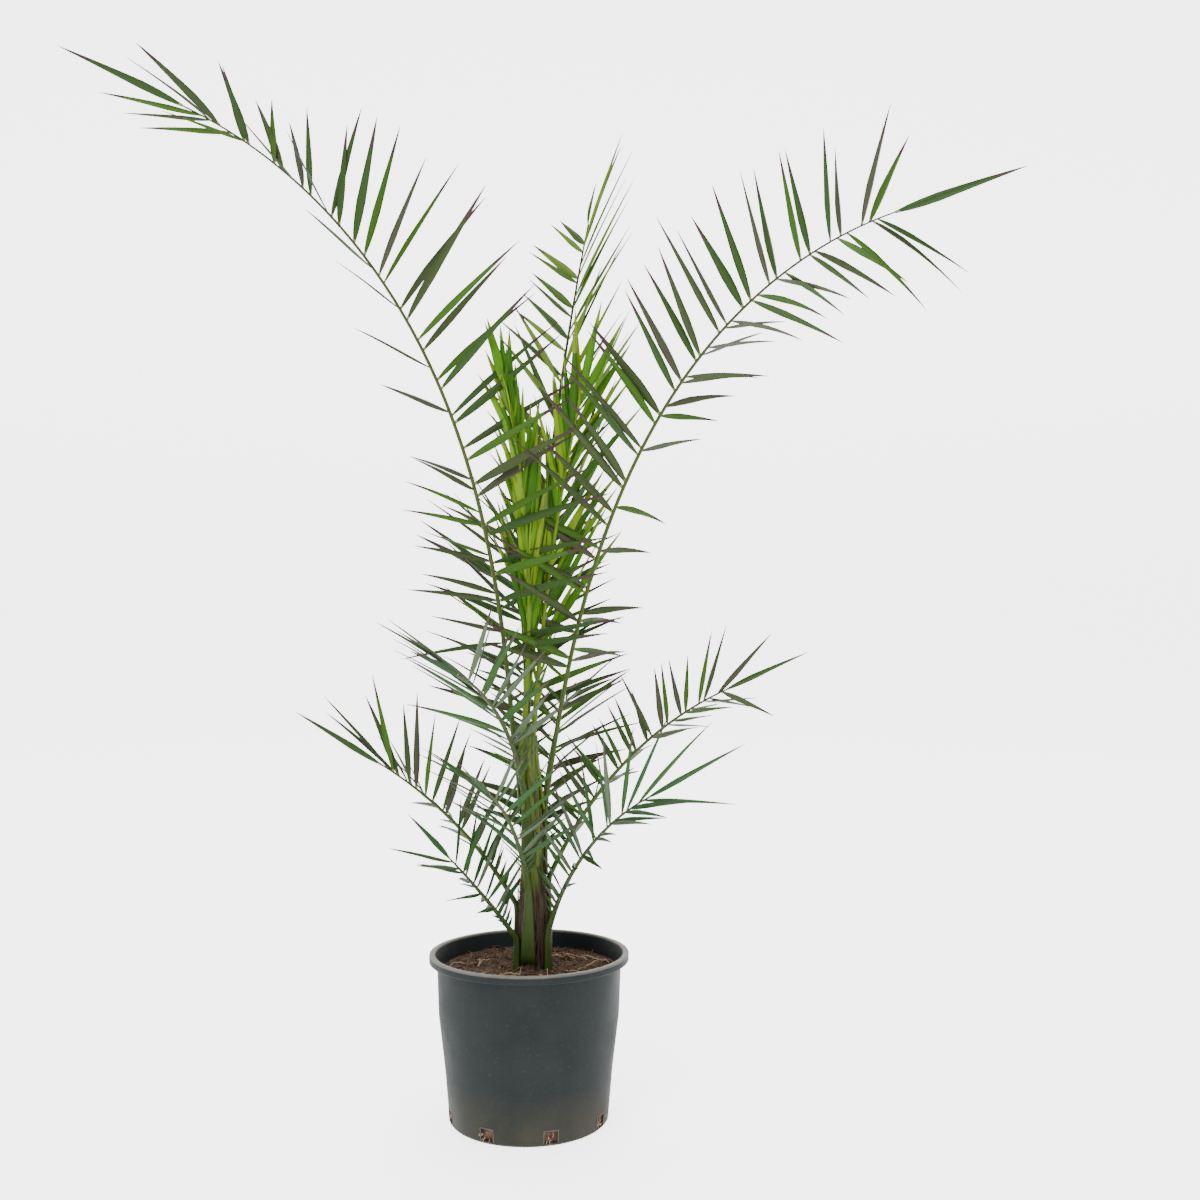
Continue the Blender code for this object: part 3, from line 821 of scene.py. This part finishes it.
FRONDS = [
    Frond("left_tall", 180, 0.5635, 1.143, (5.2, 65), 1.65, 0.12,
          Rank((0, 78, 14, 0.19), (0.5, 73, 14, 0.24), (0.65, 56, 5, 0.20), (0.8, 42, -20, 0.15),
               (0.88, 36, -20, 0.15), (1, 9, -20, 0.22)),
          Rank((0, 84, 150, 0.16), (0.2, 70, 130, 0.15), (0.6, 56, 104, 0.18), (0.74, 50, 60, 0.15),
               (0.93, 20, 165, 0.14), (1, 13, 170, 0.19), width=0.010, sparse=(0.27, 0.86)),
          blades=("blade_lower", "blade_upper")),
    Frond("right_tall", 0, 0.4725, 1.120, (8.5, 70), 1.73, 0.18,
          Rank((0, 75, -10, 0.17), (0.5, 68, -10, 0.21), (0.8, 68, 0, 0.19), (0.93, 56, 0, 0.19),
               (1, 32, 0, 0.24), width=0.016),
          Rank((0, 78, 140, 0.15), (0.3, 66, 125, 0.14), (0.5, 50, 122, 0.18), (0.8, 55, 130, 0.20),
               (1, 46, 140, 0.23), droop=0.10, width=0.012, sparse=(0.10, 0.44)),
          blades=("blade_lower", "blade_upper")),
    Frond("back_tall", 65, (-0.002, 0.009), 0.90, (8, 24), 1.00, 0.28,
          Rank((0, 38, 85, 0.19), (0.45, 32, 85, 0.21), (0.6, 46, 85, 0.14), (0.85, 55, 85, 0.11),
               (1, 35, 80, 0.10)),
          Rank((0, 34, -80, 0.19), (0.5, 25, -80, 0.25), (1, 13, -80, 0.24), width=0.009),
          spacing=0.036, shades="fresh"),
    Frond("spear_left", 176, (-0.006, -0.007), 0.55, (-4, 15), 1.50, 0.24,
          Rank((0, 14, -30, 0.24), (1, 8, -30, 0.10), width=0.016),
          Rank((0, 14, -150, 0.22), (1, 8, -150, 0.10), width=0.016), spacing=0.021, shades="young"),
    Frond("spear_right", 8, (0.009, -0.001), 0.53, (4, 13), 1.20, 0.24,
          Rank((0, 22, 25, 0.22), (1, 12, 25, 0.16), width=0.016),
          Rank((0, 25, 150, 0.24), (1, 22, 150, 0.20), width=0.016), spacing=0.022, shades="young"),
    Frond("front", -118, 0.49, 0.27, (20, 74), 1.00, 0.30,
          Rank((0, 60, 60, 0.13), (0.6, 60, 35, 0.13), (1, 50, 10, 0.13), width=0.012),
          Rank((0, 75, -85, 0.17), (0.5, 65, -80, 0.18), (1, 25, -60, 0.15), width=0.013),
          spacing=0.024, shades="dusty"),
    Frond("left_low", 170, 0.3165, 0.30, (31, 60), 1.00, 0.25,
          Rank((0, 70, 10, 0.12), (0.5, 70, 0, 0.13), (1, 30, -20, 0.17), width=0.011),
          Rank((0, 60, -100, 0.12), (0.5, 60, -110, 0.10), (1, 12, -60, 0.19), width=0.009), spacing=0.019),
    Frond("left_lowest", 208, 0.2695, 0.17, (37, 44), 1.00, 0.30,
          Rank((0, 75, 0, 0.10), (0.5, 70, 0, 0.12), (1, 50, 0, 0.10), width=0.010),
          Rank((0, 60, 120, 0.08), (0.5, 60, 120, 0.10), (1, 30, 120, 0.15), width=0.010),
          spacing=0.017, shades="dusty"),
    Frond("right_mid", 2, 0.3585, 0.400, (25, 66), 1.15, 0.15,
          Rank((0, 80, 10, 0.11), (0.5, 75, 20, 0.10), (0.8, 60, 20, 0.11), (1, 22, 20, 0.15), width=0.010),
          Rank((0, 60, 100, 0.09), (0.5, 60, 100, 0.09), (1, 40, 140, 0.12), width=0.010), spacing=0.018),
    Frond("right_low", -38, 0.2815, 0.28, (18, 62), 1.00, 0.20,
          Rank((0, 70, -15, 0.12), (0.5, 60, -15, 0.13), (1, 15, -15, 0.19), width=0.009),
          Rank((0, 60, -120, 0.08), (0.5, 55, -130, 0.10), (1, 20, -150, 0.18), width=0.009), spacing=0.021,
          shades="dusty"),
    Frond("back_mid", 96, 0.4865, 0.60, (12, 72), 1.20, 0.20,
          Rank((0, 72, 70, 0.17), (0.5, 66, 62, 0.20), (1, 30, 60, 0.18)),
          Rank((0, 72, -70, 0.17), (0.5, 66, -62, 0.20), (1, 30, -60, 0.18))),
    Frond("back_low", 80, 0.3465, 0.42, (24, 78), 1.10, 0.20,
          Rank((0, 72, 70, 0.13), (0.5, 66, 62, 0.16), (1, 30, 60, 0.15)),
          Rank((0, 72, -70, 0.13), (0.5, 66, -62, 0.16), (1, 30, -60, 0.15)), spacing=0.026),
    Frond("front_low", -108, 0.345, 0.24, (26, 68), 1.00, 0.25,
          Rank((0, 72, 50, 0.11), (0.5, 66, 45, 0.13), (1, 30, 50, 0.13), width=0.011),
          Rank((0, 72, -60, 0.12), (0.5, 66, -60, 0.14), (1, 30, -60, 0.14), width=0.011),
          spacing=0.024, shades="dusty"),
]


# Ribs. Smooth green stalks, round to half-round, that widen into a sheath where they
# clasp the stem; the sheath runs down the stem under the older leaves.
SHEATH_LENGTH = 0.11
SHEATH_WIDTH = 2.9
SHEATH_STEPS = 8
RIB_SIDES = 12
FLARE_LENGTH = 0.05


def rib_material(name, base, middle, tip):
    """Green that goes from the base through the middle to the tip, with fine long streaks."""
    made = principled(name, middle, 0.5, 0.12)
    tree = made.node_tree
    rib_uv = tree.nodes.new("ShaderNodeUVMap").outputs["UV"]
    along = node(tree, "ShaderNodeSeparateXYZ", Vector=rib_uv).outputs["Y"]
    place = place_nodes(tree, (1.0, 1.0, 0.12))[0]
    streaks = node(tree, "ShaderNodeTexNoise", Vector=place, Scale=420.0, Detail=3.0).outputs["Fac"]
    body = mixed(tree, ranged(tree, along, 0.0, 0.3), base, middle)
    body = mixed(tree, ranged(tree, along, 0.45, 1.0), body, tip)
    body = mixed(tree, ranged(tree, streaks, 0.45, 0.75, 0.0, 0.4), body, (0.020, 0.026, 0.006))
    tree.links.new(body, tree.nodes["Principled BSDF"].inputs["Base Color"])
    bumped(tree, streaks, 0.3, 0.0005)
    return made


rib_finishes = {
    "old": rib_material("rib_green",
                        (0.030, 0.054, 0.006), (0.034, 0.054, 0.007), (0.020, 0.021, 0.011)),
    "fresh": rib_material("rib_fresh_green",
                          (0.050, 0.085, 0.007), (0.022, 0.030, 0.007), (0.013, 0.013, 0.008)),
    "young": rib_material("rib_young_green",
                          (0.070, 0.110, 0.006), (0.075, 0.135, 0.006), (0.075, 0.135, 0.006)),
    "dusty": rib_material("rib_grey_green",
                          (0.026, 0.048, 0.007), (0.032, 0.050, 0.014), (0.036, 0.044, 0.022)),
}


def rib_sections(frond):
    """Centre, half width and half depth of each section, from the foot of the sheath to the tip."""
    sections = []
    foot = frond.start()
    on_top = isinstance(frond.foot, tuple)
    for step in range(SHEATH_STEPS):
        share = step / SHEATH_STEPS
        height = foot.z - SHEATH_LENGTH * (1 - share)
        height = max(height, SOIL_TOP - 0.002)
        if on_top:
            centre = Vector((stem_x(height) + (foot.x - stem_x(STEM_TOP)) * (1.9 - 0.9 * share),
                             foot.y * (1.9 - 0.9 * share), height))
        else:
            reach = stem_radius(height) + 0.0022 * share
            centre = Vector((stem_x(height) + reach * math.cos(frond.azimuth),
                             reach * math.sin(frond.azimuth), height))
        broad = STALK_RADIUS * (SHEATH_WIDTH - (SHEATH_WIDTH - 1.35) * share)
        sections.append((centre, broad, STALK_RADIUS * (0.55 + 0.45 * share), 0.0))
    for step in range(PATH_STEPS + 1):
        share = step / PATH_STEPS
        if share < frond.leafy_from:
            radius = STALK_RADIUS + (STALK_TIP_RADIUS - STALK_RADIUS) * share / frond.leafy_from
        else:
            part = (share - frond.leafy_from) / (1 - frond.leafy_from)
            radius = STALK_TIP_RADIUS + (RIB_TIP_RADIUS - STALK_TIP_RADIUS) * part ** 1.3
        flare = 1.0 + 0.35 * max(0.0, 1 - share * frond.length / FLARE_LENGTH)
        sections.append((frond.path[step], radius * flare, radius, share))
    return sections


def make_rib(frond):
    sections = rib_sections(frond)
    sideways = frond.axes(0)[2]
    points = []
    heights = []
    for index, (centre, broad, deep, share) in enumerate(sections):
        before = sections[max(index - 1, 0)][0]
        after = sections[min(index + 1, len(sections) - 1)][0]
        along = (after - before).normalized()
        side = (sideways - along * sideways.dot(along)).normalized()
        face = side.cross(along)
        for step in range(RIB_SIDES):
            turn = math.tau * step / RIB_SIDES
            points.append(centre + side * math.cos(turn) * broad + face * math.sin(turn) * deep)
            heights.append(share)
    faces = []
    for row in range(len(sections) - 1):
        faces += band(row * RIB_SIDES, (row + 1) * RIB_SIDES, RIB_SIDES)
    faces.append(tuple(reversed(range(RIB_SIDES))))
    faces.append(tuple((len(sections) - 1) * RIB_SIDES + step for step in range(RIB_SIDES)))
    piece = mesh_object(frond.name + "_rib", points, faces, [rib_finishes[frond.shades]])
    face_outward(piece)
    layer = piece.data.uv_layers.new(name="along")
    for loop in piece.data.loops:
        round_share = (loop.vertex_index % RIB_SIDES) / RIB_SIDES
        layer.data[loop.index].uv = (round_share, heights[loop.vertex_index])
    finish_piece(piece, "stalk_green", frond.name + "_stalk")


for frond in FRONDS:
    make_rib(frond)


# Leaflets. Long narrow blades, folded in a shallow trough along the middle, stiff and
# sharp, with a pale joint on the rib and brown edges and tips where they have dried.
STATIONS = (0.0, 0.03, 0.10, 0.20, 0.33, 0.48, 0.62, 0.75, 0.87, 1.0)
JOINT_UNTIL = 0.03
TIP_FROM = 0.80
FOLD = math.radians(24)
BLADE_THICKNESS = 0.0006
ROOT_WIDTH = 0.16
ROOT_JITTER = 0.16
PAIR_PULL = 0.45
ANGLE_JITTER = math.radians(9)
SWING_JITTER = math.radians(17)
LENGTH_JITTER = (0.84, 1.08)
WIDTH_JITTER = (0.8, 1.1)
FACE_JITTER = 0.55
TWIST_JITTER = 0.6
DROOP_JITTER = (0.4, 1.6)
SPINE_COUNT = 4
SPINE_WIDTH = 0.006
SPINE_SPACING = 0.16
SHADE_COUNT = 4
TIP_INDEX = SHADE_COUNT
JOINT_INDEX = SHADE_COUNT + 1
EDGE_OFFSET = SHADE_COUNT + 2


def leaf_material(name, colour, roughness=0.5):
    """One plain leaf colour with fine veins along the blade as relief only."""
    made = principled(name, colour, roughness, 0.09)
    tree = made.node_tree
    blade_uv = tree.nodes.new("ShaderNodeUVMap").outputs["UV"]
    across = node(tree, "ShaderNodeSeparateXYZ", Vector=blade_uv).outputs["X"]
    wave = tree.nodes.new("ShaderNodeMath")
    wave.operation = "SINE"
    tree.links.new(times(tree, across, 60.0), wave.inputs[0])
    bumped(tree, wave.outputs[0], 0.25, 0.0003)
    return made


blade_shades = {
    "old": [(0.019, 0.043, 0.008), (0.027, 0.040, 0.012), (0.036, 0.038, 0.020), (0.026, 0.066, 0.005)],
    "fresh": [(0.034, 0.072, 0.007), (0.062, 0.112, 0.009), (0.025, 0.053, 0.008), (0.080, 0.135, 0.010)],
    "young": [(0.042, 0.120, 0.003), (0.066, 0.150, 0.003), (0.022, 0.075, 0.003), (0.115, 0.190, 0.006)],
    "dusty": [(0.020, 0.055, 0.016), (0.030, 0.062, 0.022), (0.060, 0.085, 0.048), (0.022, 0.060, 0.012)],
}
tip_shades = {
    "old": (0.038, 0.023, 0.020), "fresh": (0.050, 0.055, 0.015),
    "young": (0.110, 0.160, 0.014), "dusty": (0.045, 0.038, 0.028),
}
edge_shades = {
    "old": (0.022, 0.016, 0.012), "fresh": (0.030, 0.036, 0.010),
    "young": (0.045, 0.080, 0.006), "dusty": (0.026, 0.024, 0.018),
}
leaf_finishes = {}
for key, shades in blade_shades.items():
    finishes = [leaf_material(f"leaf_{key}_{index + 1}", shade) for index, shade in enumerate(shades)]
    finishes.append(leaf_material(f"leaf_{key}_tip", tip_shades[key], 0.6))
    finishes.append(leaf_material(f"leaf_{key}_joint", (0.180, 0.180, 0.060), 0.5))
    edge = leaf_material(f"leaf_{key}_edge", edge_shades[key], 0.6)
    leaf_finishes[key] = finishes + [edge] * len(finishes)


def blade_share(share):
    """The half width of a blade at a share of its length, as a part of the widest."""
    return max(min(1.0, share / 0.32) ** 0.55 * (1 - share) ** 0.80 * 1.33, 0.02)


class Spray:
    """The leaflets of one frond, gathered into one mesh."""

    def __init__(self):
        self.points = []
        self.faces = []
        self.shades = []
        self.uvs = []

    def leaflet(self, root, heading, width_axis, length, width, droop, twist, shade):
        base = len(self.points)
        for share in STATIONS:
            centre = root + heading * (length * share) - Vector((0, 0, droop * length * share * share))
            turn = Quaternion(heading, twist * share)
            axis = turn @ width_axis
            face = heading.cross(axis)
            half = width / 2 * blade_share(share)
            if share == 0.0:
                half = width * ROOT_WIDTH
            for side in (-1, 0, 1):
                raise_by = half * math.sin(FOLD) if side else 0.0
                self.points.append(centre + axis * (side * half * math.cos(FOLD)) + face * raise_by)
                self.uvs.append(((side + 1) / 2, share))
        for row in range(len(STATIONS) - 1):
            low = base + 3 * row
            middle = (STATIONS[row] + STATIONS[row + 1]) / 2
            index = shade
            if middle < JOINT_UNTIL:
                index = JOINT_INDEX
            elif middle > TIP_FROM:
                index = TIP_INDEX
            for side in (0, 1):
                self.faces.append((low + side, low + side + 1, low + side + 4, low + side + 3))
                self.shades.append(index)

    def piece(self, name, key):
        made = mesh_object(name, self.points, self.faces, leaf_finishes[key])
        made.data.polygons.foreach_set("material_index", self.shades)
        layer = made.data.uv_layers.new(name="blade")
        for loop in made.data.loops:
            layer.data[loop.index].uv = self.uvs[loop.vertex_index]
        sheet = made.modifiers.new("thickness", "SOLIDIFY")
        sheet.thickness = BLADE_THICKNESS
        sheet.offset = 0.0
        sheet.material_offset_rim = EDGE_OFFSET
        applied(made)
        return made


def leaflet_frame(frond, share, angle, swing):
    """The heading of a leaflet and the axis across its blade."""
    tangent, normal, sideways = frond.axes(share)
    across = normal * math.cos(swing) + sideways * math.sin(swing)
    heading = (tangent * math.cos(angle) + across * math.sin(angle)).normalized()
    axis = (tangent - heading * tangent.dot(heading)).normalized()
    return heading, axis


def make_leaflets(frond, seed):
    rng = random.Random(seed)
    spray = Spray()
    leafy = frond.length * (1 - frond.leafy_from)
    for rank, shift in ((frond.inner, 0.0), (frond.outer, 0.5)):
        count = round(leafy / frond.spacing) + 2
        for index in range(count):
            share = (index - PAIR_PULL * (index % 2) + rng.uniform(-ROOT_JITTER, ROOT_JITTER) + shift) / count
            share = min(1.0, max(0.0, share))
            if rank.sparse[0] < share < rank.sparse[1] and index % 3:
                continue
            along = frond.leafy_from + (1 - frond.leafy_from) * share
            angle, swing, length = rank.at(share)
            angle = math.radians(angle) + rng.uniform(-ANGLE_JITTER, ANGLE_JITTER)
            swing = math.radians(swing) + rng.uniform(-SWING_JITTER, SWING_JITTER)
            length *= rng.uniform(*LENGTH_JITTER)
            heading, axis = leaflet_frame(frond, along, angle, swing)
            axis = Quaternion(heading, rng.uniform(-FACE_JITTER, FACE_JITTER)) @ axis
            width = rank.width * rng.uniform(*WIDTH_JITTER)
            droop = rank.droop * rng.uniform(*DROOP_JITTER)
            twist = rng.uniform(-TWIST_JITTER, TWIST_JITTER)
            spray.leaflet(frond.point(along), heading, axis, length, width, droop, twist,
                          rng.randrange(SHADE_COUNT))
        for index in range(SPINE_COUNT):
            along = frond.leafy_from * (1 - SPINE_SPACING * (index + 0.5 + shift))
            angle, swing, length = rank.at(0)
            heading, axis = leaflet_frame(frond, along, math.radians(angle * 0.8), math.radians(swing))
            spray.leaflet(frond.point(along), heading, axis, length * (0.45 - 0.09 * index), SPINE_WIDTH,
                          0.02, 0.0, rng.randrange(SHADE_COUNT))
    heading, axis = leaflet_frame(frond, 1.0, 0.02, 0.0)
    end_length = frond.inner.at(1.0)[2] * 0.95
    spray.leaflet(frond.point(1.0), heading, axis, end_length, frond.inner.width, 0.02, 0.3, 0)
    piece = spray.piece(frond.name + "_leaflets", frond.shades)
    slot = "young_leaf_green" if frond.shades == "young" else "leaf_green"
    finish_piece(piece, slot, *[f"{frond.name}_{blade}" for blade in frond.blades])


for seed, frond in enumerate(FRONDS):
    make_leaflets(frond, seed + 1)

size = {"cad": cad_box, "visual": [[float(value) for value in corner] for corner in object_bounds()]}
